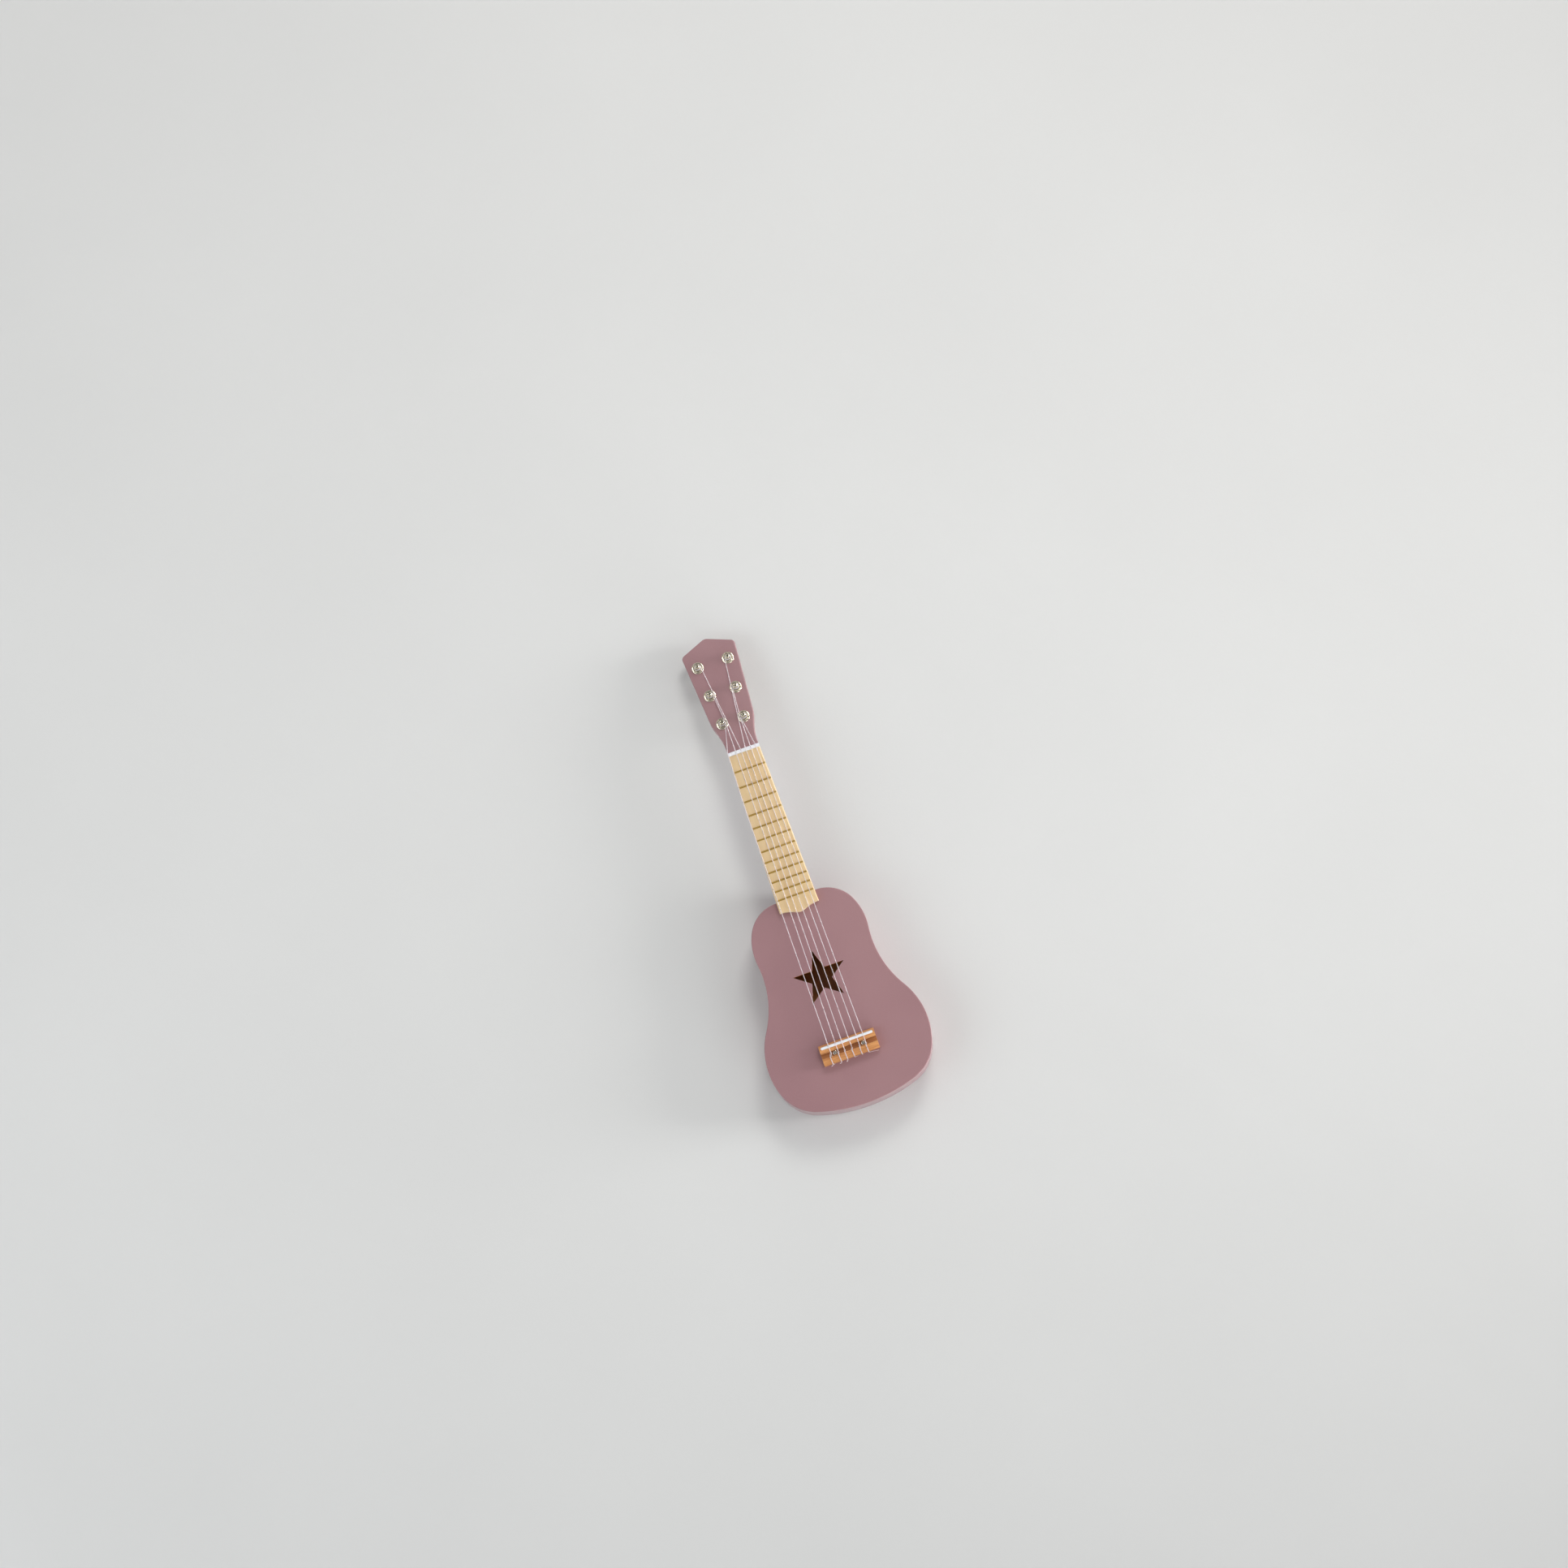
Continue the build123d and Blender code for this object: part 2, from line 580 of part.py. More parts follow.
bolt_end_z = cavity_roof - bridge_plate_thickness - bolt_washer - bolt_nut - bolt_overhang
with BuildPart() as bridge_bolts:
    for side in (-1, 1):
        bolt_x = side * bridge_bolt_x
        seat_z = top_z + valley_height
        with BuildSketch(Plane(origin=(bolt_x, bolt_y, 0), x_dir=(1, 0, 0), z_dir=(0, -1, 0))):
            with BuildLine():
                Line((0, bolt_end_z), (bolt_radius, bolt_end_z))
                Line((bolt_radius, bolt_end_z), (bolt_radius, seat_z))
                Line((bolt_radius, seat_z), (bolt_head_radius, seat_z))
                Line((bolt_head_radius, seat_z), (bolt_head_radius, seat_z + bolt_head / 3))
                dome_edge = (bolt_head_radius, seat_z + bolt_head / 3)
                JernArc(dome_edge, (0, 1), bolt_head * 2 / 3, 90)
                Line((bolt_head_radius - bolt_head * 2 / 3, seat_z + bolt_head), (0, seat_z + bolt_head))
                Line((0, seat_z + bolt_head), (0, bolt_end_z))
            make_face()
        revolve(axis=Axis((bolt_x, bolt_y, 0), (0, 0, 1)))
        with Locations((bolt_x, bolt_y, seat_z + bolt_head)):
            cross_recess(*bolt_recess, bolt_recess_turn * side)
finish(bridge_bolts, "bridge_bolts")

with BuildPart() as bridge_nuts:
    flange_z = cavity_roof - bridge_plate_thickness
    for bolt_x in (-bridge_bolt_x, bridge_bolt_x):
        with BuildSketch(Plane.XY.offset(flange_z)):
            with Locations((bolt_x, bolt_y)):
                Circle(bolt_washer_radius)
        extrude(amount=-bolt_washer)
        with BuildSketch(Plane.XY.offset(flange_z - bolt_washer)):
            with Locations((bolt_x, bolt_y)):
                RegularPolygon(bolt_nut_half_flats, 6, major_radius=False)
        extrude(amount=-bolt_nut)
        with Locations((bolt_x, bolt_y, flange_z)):
            Cylinder(bolt_radius + fit_gap, 4 * bolt_nut, mode=Mode.SUBTRACT)
finish(bridge_nuts, "bridge_nuts")

# ---------------------------------------------------------------- strings
string_height = top_z + string_height_at_nut
nut_bend_y = nut_back_y + nut_bend_overhang
winding_radius = post_radius + string_radius
winding_outer = post_radius + 2 * string_radius
winding_height = winding_floor + winding_turns * string_radius
winding_top = winding_floor + 2 * winding_turns * string_radius
tie_exit_y = bridge_front_y - valley_end + hole_exit
tie_rear_y = bridge_front_y - bridge_length


def saddle_bend():
    """y and z where the string's two straight runs meet, so that it just clears the saddle's crown."""
    wrap = saddle_thickness / 2 + string_radius + contact_gap
    back_y = saddle_y - tie_exit_y
    back_z = saddle_crest_z - (top_z + tie_hole_height)
    ahead_z = string_height - saddle_crest_z
    rise = atan2(back_z, back_y) + asin(wrap / hypot(back_y, back_z))
    fall = atan2(ahead_z, scale_length) - asin(wrap / hypot(ahead_z, scale_length))
    lean = (rise + fall) / 2
    reach = wrap / cos((rise - fall) / 2)
    return saddle_y - reach * sin(lean), saddle_crest_z + reach * cos(lean)


def string_route(number):
    """The string's corner points from its tail to just short of its winding, with bend radii."""
    saddle_x = saddle_string_x[number]
    nut_x = nut_string_x[number]
    side = peg_sides[number]
    crown_y, crown_z = saddle_bend()
    points = [
        Vector(saddle_x, tie_rear_y - string_tail, top_z + tie_hole_height),
        Vector(saddle_x, tie_exit_y, top_z + tie_hole_height),
        Vector(saddle_x, crown_y, crown_z),
    ]
    bend_radii = [tie_bend_radius, saddle_thickness / 2 + string_radius]
    if number == 0:
        slack_x, slack_y = last_bends[number]
        slope = (crown_z - string_height) / (nut_bend_y - crown_y)
        points.append(Vector(slack_x, slack_y, string_height + slope * (nut_bend_y - slack_y)))
        bend_radii.append(slack_bend_radius)
    points.append(Vector(nut_x, nut_bend_y, string_height))
    bend_radii.append(nut_bend_radius)
    local = face_plane.to_local_coords(points[-1])
    start_x, start_along, start_above = local.X, local.Y, local.Z
    if peg_rows[number] == 1:
        # the middle pegs' strings bend round the inner side of the first pegs' posts
        start_x = side * (peg_first_x - post_radius - string_radius - moving_gap)
        start_along = peg_first
        start_above = post_bend_height
        points.append(head_point(start_x, start_along, start_above))
        bend_radii.append(post_bend_radius)
    peg_x, peg_along = peg_place(number)
    gap = hypot(peg_x - start_x, peg_along - start_along)
    tangent = sqrt(gap ** 2 - winding_radius ** 2)
    heading = atan2(peg_along - start_along, peg_x - start_x) + side * asin(winding_radius / gap)
    stop = sqrt(winding_outer ** 2 - post_radius ** 2) + moving_gap
    run = tangent - stop
    end_above = start_above + (winding_height - start_above) * run / tangent
    end_x = start_x + run * cos(heading)
    points.append(head_point(end_x, start_along + run * sin(heading), end_above))
    return points, bend_radii


for number in range(6):
    route, bend_radii = string_route(number)
    with BuildPart() as string:
        with BuildLine():
            course = FilletPolyline(*route, radius=bend_radii)
        with BuildSketch(Plane(origin=course @ 0, z_dir=course % 0)):
            Circle(string_radius)
        sweep(path=course)
    tube_volume = pi * string_radius ** 2 * course.length
    volume_ratio = string.part.volume / tube_volume
    print(f"string_{number + 1}: length {course.length:.1f}, volume ratio {volume_ratio:.4f}")
    finish(string, f"string_{number + 1}")

# ---------------------------------------------------------------- tuning pegs
button_top = -(head_thickness + washer_thickness + button_gap)
stub_end = button_top - stub_length
thread_end = stub_end + thread_depth
screw_recess = peg_screw_head + peg_screw_sink

with BuildPart() as peg_bushings:
    for number in range(6):
        axis, section = peg_axis(number)
        bore = post_radius + running_clearance
        with BuildSketch(section):
            with BuildLine():
                Polyline(
                    (bushing_groove_radius, bushing_floor),
                    (bore + bushing_collar, bushing_floor),
                    (bore + bushing_collar_top, bushing_floor + bushing_collar_rise),
                    (bore, bushing_floor + bushing_collar_rise),
                    (bore, -head_thickness),
                    (sleeve_radius, -head_thickness),
                    (sleeve_radius, 0),
                    (bushing_radius, 0),
                    (bushing_radius, bushing_side),
                )
                crest = ((bushing_radius + bushing_groove_radius) / 2, bushing_rim)
                ThreePointArc((bushing_radius, bushing_side), crest, (bushing_groove_radius, bushing_floor))
            make_face()
        revolve(axis=axis)
finish(peg_bushings, "peg_bushings")

with BuildPart() as peg_washers:
    for number in range(6):
        with BuildSketch(head_plane(*peg_place(number), -head_thickness)):
            Circle(washer_radius)
            Circle(post_radius + running_clearance, mode=Mode.SUBTRACT)
        extrude(amount=-washer_thickness)
finish(peg_washers, "peg_washers")

for number in range(6):
    x, along = peg_place(number)
    axis, section = peg_axis(number)
    button_turn = button_turn_first + button_turn_step * number

    with BuildPart() as shaft:
        with BuildSketch(section):
            with BuildLine():
                Polyline(
                    (0, thread_end),
                    (peg_screw_radius, thread_end),
                    (peg_screw_radius, stub_end),
                    (stub_radius, stub_end),
                    (stub_radius, button_top),
                    (post_radius, button_top),
                    (post_radius, winding_top + post_neck),
                    (post_tip_radius, post_height - post_edge),
                    (post_tip_radius - post_edge, post_height),
                    (post_hole_radius + post_hole_edge, post_height),
                    (post_hole_radius, post_height - post_hole_edge),
                    (post_hole_radius, post_height - post_hole_depth),
                    (0, post_height - post_hole_depth - post_hole_point),
                    close=True,
                )
            make_face()
        revolve(axis=axis)
        with Locations(head_plane(x, along, winding_top + string_hole_lift)):
            string_hole_radius = string_radius + string_hole_clearance
            Cylinder(string_hole_radius, 4 * post_radius, rotation=(90, 0, button_turn), mode=Mode.SUBTRACT)
    finish(shaft, f"peg_{number + 1}_shaft")

    with BuildPart() as button:
        with BuildSketch(head_plane(x, along, button_top - button_collar)):
            Ellipse(button_half_length, button_half_width, rotation=button_turn)
        extrude(amount=-(button_height - button_collar))
        fillet(button.edges().group_by(SortBy.LENGTH)[-1], radius=button_round)
        with BuildSketch(head_plane(x, along, button_top)):
            Circle(button_collar_radius)
        extrude(amount=-button_collar)
        with Locations(head_plane(x, along, button_top)):
            Cylinder(stub_radius, 2 * stub_length, mode=Mode.SUBTRACT)
            Cylinder(peg_screw_radius + fit_gap, 4 * button_height, mode=Mode.SUBTRACT)
        with Locations(head_plane(x, along, button_top - button_height)):
            Cylinder(peg_screw_head_radius + button_screw_clearance, 2 * screw_recess, mode=Mode.SUBTRACT)
    finish(button, f"peg_{number + 1}_button")

    head_seat = button_top - button_height + screw_recess
    with BuildPart() as screw:
        with BuildSketch(section):
            with BuildLine():
                Polyline(
                    (0, head_seat - peg_screw_head),
                    (peg_screw_head_radius - peg_screw_edge, head_seat - peg_screw_head),
                    (peg_screw_head_radius, head_seat - peg_screw_head + peg_screw_edge),
                    (peg_screw_head_radius, head_seat),
                    (peg_screw_radius, head_seat),
                    (peg_screw_radius, thread_end - thread_clearance),
                    (0, thread_end - thread_clearance),
                    close=True,
                )
            make_face()
        revolve(axis=axis)
        with Locations(head_plane(x, along, head_seat - peg_screw_head)):
            cross_recess(*peg_screw_recess, button_turn)
    finish(screw, f"peg_{number + 1}_screw")

    with BuildPart() as winding:
        with BuildSketch(section):
            for turn in range(winding_turns):
                with Locations((winding_radius, winding_floor + (2 * turn + 1) * string_radius)):
                    Circle(string_radius)
            with Locations((post_radius + string_radius / 2, winding_height)):
                Rectangle(string_radius, 2 * string_radius * (winding_turns - 0.5))
        revolve(axis=axis)
    finish(winding, f"string_{number + 1}_winding")
    peg_foot = head_point(x, along, 0)
    lowest = head_point(x, along, button_top - button_height).Z - button_half_length * sin(head_slope)
    print(f"peg_{number + 1}: foot {peg_foot.X:.3f} {peg_foot.Y:.3f} {peg_foot.Z:.3f}, lowest {lowest:.2f}")
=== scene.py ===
"""Looks of a lilac wooden toy guitar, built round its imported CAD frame. Metres, in the CAD's own frame."""

import json
import math

import bpy
from mathutils import Matrix, Vector


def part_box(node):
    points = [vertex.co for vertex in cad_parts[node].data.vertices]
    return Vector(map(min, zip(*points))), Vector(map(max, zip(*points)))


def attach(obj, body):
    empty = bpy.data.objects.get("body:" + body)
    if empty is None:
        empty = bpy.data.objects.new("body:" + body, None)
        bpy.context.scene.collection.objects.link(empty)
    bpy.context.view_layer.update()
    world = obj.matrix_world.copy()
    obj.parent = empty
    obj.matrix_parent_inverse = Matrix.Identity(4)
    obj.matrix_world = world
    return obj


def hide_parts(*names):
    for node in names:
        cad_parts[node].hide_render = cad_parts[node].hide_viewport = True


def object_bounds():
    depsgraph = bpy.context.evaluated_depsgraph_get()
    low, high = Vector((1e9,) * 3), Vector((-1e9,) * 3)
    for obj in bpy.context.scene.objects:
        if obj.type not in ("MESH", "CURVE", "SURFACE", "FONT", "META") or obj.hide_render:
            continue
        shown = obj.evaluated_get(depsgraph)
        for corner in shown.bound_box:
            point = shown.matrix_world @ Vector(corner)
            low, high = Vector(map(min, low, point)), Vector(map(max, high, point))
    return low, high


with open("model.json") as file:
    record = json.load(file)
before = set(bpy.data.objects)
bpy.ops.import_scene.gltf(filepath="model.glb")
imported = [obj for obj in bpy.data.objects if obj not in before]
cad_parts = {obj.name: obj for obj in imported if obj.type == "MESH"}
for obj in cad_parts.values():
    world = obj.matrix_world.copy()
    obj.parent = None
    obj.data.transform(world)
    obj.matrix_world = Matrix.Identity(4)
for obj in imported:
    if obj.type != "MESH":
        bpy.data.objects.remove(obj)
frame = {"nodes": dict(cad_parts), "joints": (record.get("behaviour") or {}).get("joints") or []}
cad_low, cad_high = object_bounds()

MM = 0.001

# --- places read from the CAD frame ---
plate_low, plate_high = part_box("soundboard")
back_low, back_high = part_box("back_plate")
bridge_low, bridge_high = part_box("bridge")
saddle_low, saddle_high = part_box("saddle")
nut_low, nut_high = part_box("nut")
top_z = plate_high.z
body_centre = (plate_low + plate_high) / 2
saddle_y = (saddle_low.y + saddle_high.y) / 2
star_x = -3.2 * MM
star_y = saddle_y + 73.2 * MM
star_reach = 31.0 * MM       # a little more than from the star's centre to its points
mask_margin = 0.1 * MM      # so that a flat face is surely on one side of a mask's edge
edge_strip = 0.4 * MM       # strip of paint left at the top of the star's walls
peg_feet = [Vector(joint["pos_m"]) for joint in frame["joints"]]
peg_axis = Vector(frame["joints"][0]["axis"]).normalized()
face_across = Vector((1, 0, 0))
face_up = peg_axis.cross(face_across)

# --- string sizes, as in the CAD ---
string_radius = 0.425 * MM
saddle_string_x = [x * MM for x in (-20.2, -12.3, -5.3, 2.7, 11.2, 18.4)]
nut_string_x = [x * MM for x in (-17.4, -8.6, -2.7, 2.6, 8.3, 13.8)]
slack_turn = 60.0 * MM      # the first string turns inwards this far below the nut
slack_turn_x = -19.6 * MM
slack_reach = 40.0 * MM     # half the length of that gentle bend
corner_reach = 1.2 * MM     # the same for the bends at the hole, saddle, nut and posts
string_above_board = 6.55 * MM
nut_overhang = 0.25 * MM    # the string bends this far behind the nut
saddle_crown = 9.0 * MM
tie_hole_height = 5.7 * MM
tie_block_depth = 7.6 * MM
tie_block_height = 7.8 * MM
hole_exit = 0.8 * MM        # the string leaves its hole this far in front of the tie block
groove_height = 4.4 * MM
post_radius = 3.0 * MM
winding_floor = 2.2 * MM
winding_turns = 2
post_bend_height = 4.9 * MM
moving_gap = 0.35 * MM
strand_gap = 0.05 * MM      # the strand stops this far short of touching its post
string_hole_height = 4.8 * MM

peg_rows = (0, 1, 2, 2, 1, 0)
peg_sides = (-1, -1, -1, 1, 1, 1)


# ------------------------------------------------------------------ material recipes
class Recipe:
    """A material's node tree with short ways to add nodes. Coordinates are the object's own, in metres."""

    def __init__(self, name):
        self.material = bpy.data.materials.new(name)
        self.material.use_nodes = True
        self.tree = self.material.node_tree
        self.tree.nodes.clear()
        self.shader = self.node("ShaderNodeBsdfPrincipled")
        output = self.node("ShaderNodeOutputMaterial")
        self.tree.links.new(self.shader.outputs["BSDF"], output.inputs["Surface"])
        self.place = self.node("ShaderNodeTexCoord").outputs["Object"]

    def node(self, kind, **settings):
        made = self.tree.nodes.new(kind)
        for key, value in settings.items():
            setattr(made, key, value)
        return made

    def join(self, value, socket):
        """Links an output to an input, or sets the input when value is a plain number or colour."""
        if isinstance(value, bpy.types.NodeSocket):
            self.tree.links.new(value, socket)
        else:
            socket.default_value = value

    def set(self, **values):
        """Sets or links the shader's inputs, named with underscores for spaces."""
        for key, value in values.items():
            self.join(value, self.shader.inputs[key.replace("_", " ")])

    def stretched(self, scale):
        mapping = self.node("ShaderNodeMapping")
        self.join(self.place, mapping.inputs["Vector"])
        self.join(scale, mapping.inputs["Scale"])
        return mapping.outputs["Vector"]

    def noise(self, scale, detail=3.0, distortion=0.0, roughness=0.5):
        """Noise from 0 to 1; scale is one number or three, in features per metre."""
        scales = scale if hasattr(scale, "__len__") else (scale, scale, scale)
        made = self.node("ShaderNodeTexNoise")
        self.join(self.stretched(scales), made.inputs["Vector"])
        self.join(1.0, made.inputs["Scale"])
        self.join(detail, made.inputs["Detail"])
        self.join(roughness, made.inputs["Roughness"])
        self.join(distortion, made.inputs["Distortion"])
        return made.outputs["Fac"]

    def math(self, operation, a, b=0.0, clamp=False):
        made = self.node("ShaderNodeMath", operation=operation, use_clamp=clamp)
        self.join(a, made.inputs[0])
        self.join(b, made.inputs[1])
        return made.outputs[0]

    def blend(self, a, b, share):
        """Two values added up, b with its share and a with the rest."""
        return self.math("ADD", self.math("MULTIPLY", a, 1 - share), self.math("MULTIPLY", b, share))

    def spread(self, value, low, high, to_low=0.0, to_high=1.0):
        """Maps low..high to to_low..to_high, held at the ends."""
        made = self.node("ShaderNodeMapRange", clamp=True)
        for name, number in (
            ("Value", value),
            ("From Min", low),
            ("From Max", high),
            ("To Min", to_low),
            ("To Max", to_high),
        ):
            self.join(number, made.inputs[name])
        return made.outputs["Result"]

    def mix(self, share, a, b, blend="MIX"):
        made = self.node("ShaderNodeMix", data_type="RGBA", blend_type=blend)
        colours = [socket for socket in made.inputs if socket.type == "RGBA"]
        self.join(share, made.inputs["Factor"])
        self.join(a, colours[0])
        self.join(b, colours[1])
        return next(socket for socket in made.outputs if socket.type == "RGBA")

    def axis(self, name):
        split = self.node("ShaderNodeSeparateXYZ")
        self.join(self.place, split.inputs[0])
        return split.outputs[name]

    def edge_wear_and_highlight(self, width):
        """About 1 along outside edges within width, and 0 on flat ground; it marks rubbed edge wear and
        painted edge highlights.
        """
        rounded = self.node("ShaderNodeBevel", samples=6)
        self.join(width, rounded.inputs["Radius"])
        true_normal = self.node("ShaderNodeNewGeometry").outputs["Normal"]
        dot = self.node("ShaderNodeVectorMath", operation="DOT_PRODUCT")
        self.join(rounded.outputs[0], dot.inputs[0])
        self.join(true_normal, dot.inputs[1])
        return self.spread(dot.outputs["Value"], 0.98, 0.80)

    def relief(self, height, depth, edge_round=0.0):
        """Bump from a height of 0 to 1, depth metres high, over slightly rounded edges."""
        bump = self.node("ShaderNodeBump")
        self.join(height, bump.inputs["Height"])
        self.join(1.0, bump.inputs["Strength"])
        self.join(depth, bump.inputs["Distance"])
        if edge_round:
            rounded = self.node("ShaderNodeBevel", samples=6)
            self.join(edge_round, rounded.inputs["Radius"])
            self.join(rounded.outputs[0], bump.inputs["Normal"])
        self.join(bump.outputs["Normal"], self.shader.inputs["Normal"])


def colour(red, green, blue):
    """An sRGB colour of 0 to 255 as linear RGBA."""
    linear = []
    for part in (red, green, blue):
        share = part / 255
        linear.append(share / 12.92 if share <= 0.04045 else ((share + 0.055) / 1.055) ** 2.4)
    return (*linear, 1.0)


def raw_wood_colour(recipe):
    """Unpainted wood inside the body and in the star's walls, with grain along Y."""
    grain = recipe.noise((900, 25, 900), detail=4, distortion=0.4)
    broad = recipe.noise((120, 8, 120), detail=2)
    lines = recipe.blend(grain, broad, 0.4)
    return recipe.mix(recipe.spread(lines, 0.35, 0.65), colour(192, 120, 54), colour(222, 152, 80))


def lilac_paint(name, bare=None):
    """Satin lilac paint. bare(recipe) gives a mask, 1 where the wood was left unpainted."""
    recipe = Recipe(name)
    clouds = recipe.spread(recipe.noise(9, detail=2), 0.35, 0.65)
    speckle = recipe.noise(1400, detail=2)
    paint = recipe.mix(clouds, colour(155, 118, 123), colour(161, 124, 128))
    paint = recipe.mix(recipe.spread(speckle, 0.3, 0.7, 0.0, 0.12), paint, colour(184, 150, 153))
    edge = recipe.edge_wear_and_highlight(0.9 * MM)
    scuffs = recipe.spread(recipe.noise(260, detail=4), 0.42, 0.62)
    rubbed = recipe.math("MULTIPLY", edge, recipe.spread(scuffs, 0, 1, 0.15, 0.5))
    paint = recipe.mix(rubbed, paint, colour(205, 180, 180))
    gloss = recipe.spread(recipe.noise(45, detail=4), 0.3, 0.7, 0.28, 0.38)
    orange_peel = recipe.noise(520, detail=2)
    fibres = recipe.noise((700, 40, 700), detail=3)
    height = recipe.blend(orange_peel, fibres, 0.4)
    if bare:
        mask = bare(recipe)
        paint = recipe.mix(mask, paint, raw_wood_colour(recipe))
        gloss = recipe.math("ADD", gloss, recipe.math("MULTIPLY", mask, 0.3))
    recipe.set(Base_Color=paint, Roughness=gloss, IOR=1.5, Coat_Weight=0.35, Coat_Roughness=0.12)
    recipe.relief(height, 0.02 * MM, edge_round=0.3 * MM)
    return recipe.material


def above(recipe, height):
    """1 above a height, 0 below it."""
    return recipe.math("GREATER_THAN", recipe.axis("Z"), height)


def below(recipe, height):
    """1 below a height, 0 above it."""
    return recipe.math("LESS_THAN", recipe.axis("Z"), height)


def facing_inwards(recipe):
    """1 on faces of the rim that look towards the middle of the body."""
    away = recipe.node("ShaderNodeVectorMath", operation="SUBTRACT")
    recipe.join(recipe.place, away.inputs[0])
    recipe.join(tuple(body_centre), away.inputs[1])
    dot = recipe.node("ShaderNodeVectorMath", operation="DOT_PRODUCT")
    recipe.join(away.outputs[0], dot.inputs[0])
    recipe.join(recipe.node("ShaderNodeNewGeometry").outputs["True Normal"], dot.inputs[1])
    return recipe.math("LESS_THAN", dot.outputs["Value"], 0.0)


def unpainted_soundboard(recipe):
    """1 on the soundboard's underside and on the cut walls of its star."""
    underside = below(recipe, plate_low.z + mask_margin)
    from_star = recipe.node("ShaderNodeVectorMath", operation="DISTANCE")
    recipe.join(recipe.place, from_star.inputs[0])
    recipe.join((star_x, star_y, plate_high.z), from_star.inputs[1])
    near = recipe.math("LESS_THAN", from_star.outputs["Value"], star_reach)
    walls = recipe.math("MULTIPLY", near, below(recipe, plate_high.z - edge_strip))
    return recipe.math("MAXIMUM", underside, walls)


def raw_wood(name):
    recipe = Recipe(name)
    recipe.set(Base_Color=raw_wood_colour(recipe), Roughness=0.75)
    recipe.relief(recipe.noise((1200, 60, 1200), detail=3), 0.08 * MM)
    return recipe.material


def maple(name):
    """Pale lacquered maple with fine grain along the neck and a painted highlight on its bevel."""
    recipe = Recipe(name)
    fine = recipe.noise((1500, 18, 1500), detail=4, distortion=0.3)
    broad = recipe.noise((160, 7, 160), detail=2, distortion=0.6)
    flecks = recipe.spread(recipe.noise((2600, 160, 2600), detail=2), 0.62, 0.78)
    wood = recipe.mix(recipe.spread(broad, 0.35, 0.65), colour(232, 207, 164), colour(226, 197, 150))
    wood = recipe.mix(recipe.spread(fine, 0.35, 0.7, 0.0, 0.35), wood, colour(214, 181, 132))
    wood = recipe.mix(recipe.math("MULTIPLY", flecks, 0.2), wood, colour(190, 152, 104))
    edge = recipe.edge_wear_and_highlight(1.0 * MM)
    # Painted highlight: the fingerboard's bevelled edges are lightened almost to white.
    wood = recipe.mix(recipe.math("MULTIPLY", edge, 0.85), wood, colour(253, 246, 230))
    gloss = recipe.spread(recipe.noise(70, detail=3), 0.3, 0.7, 0.3, 0.4)
    recipe.set(Base_Color=wood, Roughness=gloss, Coat_Weight=0.25, Coat_Roughness=0.25)
    recipe.relief(fine, 0.03 * MM, edge_round=0.25 * MM)
    return recipe.material


def bridge_wood(name):
    """Golden-brown wood with grain running across the guitar and painted highlights on its edges; the groove
    behind the saddle is darker, partly stained wood and partly painted shade.
    """
    recipe = Recipe(name)
    groove_stain_and_shade = below(recipe, bridge_low.z + groove_height)
    turned = recipe.node("ShaderNodeMapping")
    recipe.join(recipe.place, turned.inputs["Vector"])
    grain_lean = math.radians(2)
    recipe.join((0.0, grain_lean, grain_lean), turned.inputs["Rotation"])
    recipe.place = turned.outputs["Vector"]
    streaks = recipe.noise((22, 620, 420), detail=4, distortion=0.5)
    fine = recipe.noise((60, 2400, 2000), detail=3)
    pores = recipe.spread(recipe.noise((240, 3600, 3600), detail=2), 0.62, 0.72)
    wood = recipe.mix(recipe.spread(streaks, 0.34, 0.66), colour(224, 164, 104), colour(196, 130, 76))
    wood = recipe.mix(recipe.spread(fine, 0.4, 0.7, 0.0, 0.35), wood, colour(176, 112, 62))
    wood = recipe.mix(recipe.math("MULTIPLY", pores, 0.35), wood, colour(124, 74, 40))
    # Painted shade in the groove behind the saddle, mixed with the groove's darker stained wood.
    wood = recipe.mix(recipe.math("MULTIPLY", groove_stain_and_shade, 0.62), wood, colour(140, 78, 36))
    edge = recipe.edge_wear_and_highlight(0.5 * MM)
    # Painted highlight: the bridge's edges are lightened to a pale gold.
    wood = recipe.mix(recipe.math("MULTIPLY", edge, 0.55), wood, colour(242, 200, 150))
    gloss = recipe.spread(fine, 0.3, 0.7, 0.36, 0.5)
    recipe.set(Base_Color=wood, Roughness=gloss, Coat_Weight=0.15, Coat_Roughness=0.3)
    recipe.relief(streaks, 0.05 * MM, edge_round=0.35 * MM)
    return recipe.material


def metal(name, bright, dark, roughness, scratch, edge_round):
    """Plated or drawn metal, tarnished here and there, with fine scratches."""
    recipe = Recipe(name)
    tarnish = recipe.spread(recipe.noise(380, detail=4), 0.45, 0.75)
    edge = recipe.edge_wear_and_highlight(0.4 * MM)
    tone = recipe.mix(recipe.math("MULTIPLY", tarnish, 0.6), bright, dark)
    tone = recipe.mix(recipe.math("MULTIPLY", edge, 0.4), tone, bright)
    scratches = recipe.noise((2600, 300, 2600), detail=3)
    gloss = recipe.spread(scratches, 0.3, 0.7, roughness * 0.7, roughness * 1.4)
    recipe.set(Base_Color=tone, Metallic=1.0, Roughness=gloss)
    recipe.relief(scratches, scratch, edge_round=edge_round)
    return recipe.material


